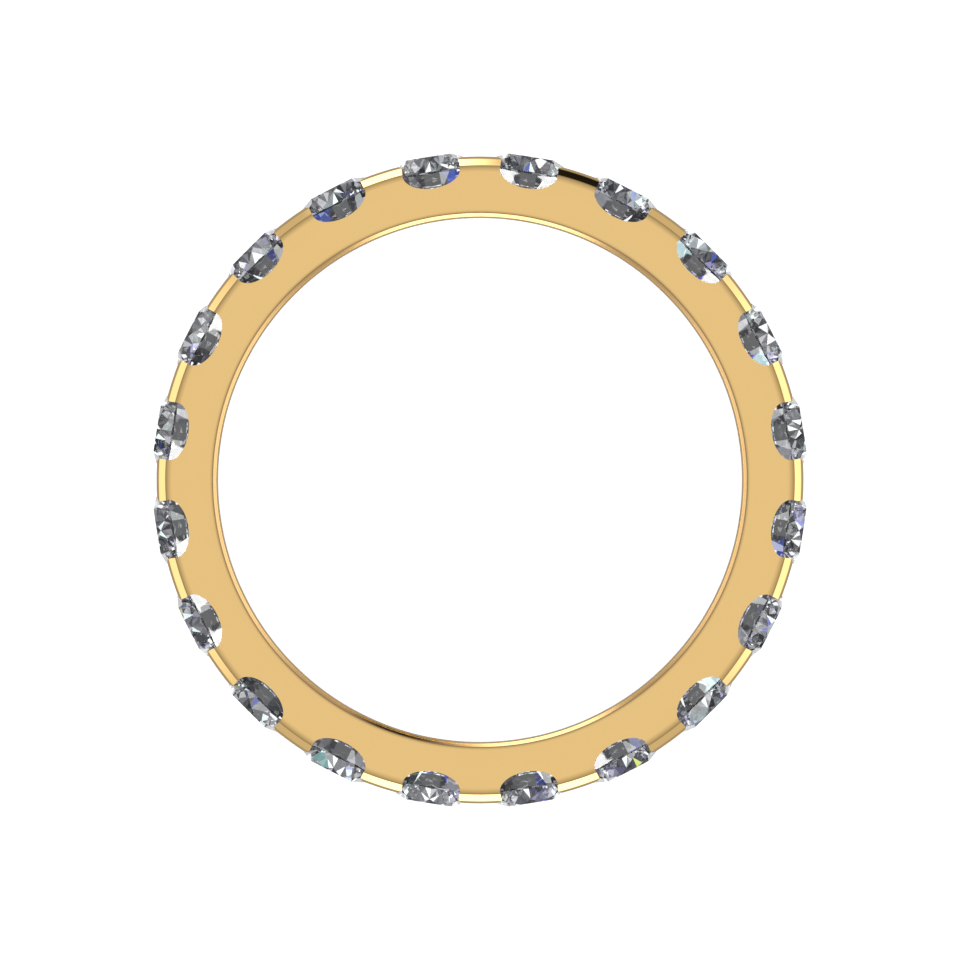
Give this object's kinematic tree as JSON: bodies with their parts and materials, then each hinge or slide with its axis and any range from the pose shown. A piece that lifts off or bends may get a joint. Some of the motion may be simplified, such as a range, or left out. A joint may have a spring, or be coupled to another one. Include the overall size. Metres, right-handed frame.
{
  "type": "eternity wedding ring",
  "caption": "Full eternity wedding ring: a flat-sided gold band with round brilliants set all the way round in seats that are open at both sides.",
  "frame": {"origin": "on the axis of the finger hole, in the plane that the ring rests on when it lies on its side", "axes": "+Z along the axis of the finger hole; +X and +Y in the plane of the ring, each pointing midway between two stones"},
  "size_m": [0.021, 0.021, 0.003],
  "materials": {
    "gold": "polished",
    "diamond": "polished"
  },
  "bodies": {
    "root": {"band": "gold", "stone_01": "diamond", "stone_02": "diamond", "stone_03": "diamond", "stone_04": "diamond", "stone_05": "diamond", "stone_06": "diamond", "stone_07": "diamond", "stone_08": "diamond", "stone_09": "diamond", "stone_10": "diamond", "stone_11": "diamond", "stone_12": "diamond", "stone_13": "diamond", "stone_14": "diamond", "stone_15": "diamond", "stone_16": "diamond", "stone_17": "diamond", "stone_18": "diamond", "stone_19": "diamond", "stone_20": "diamond"}
  },
  "joints": []
}
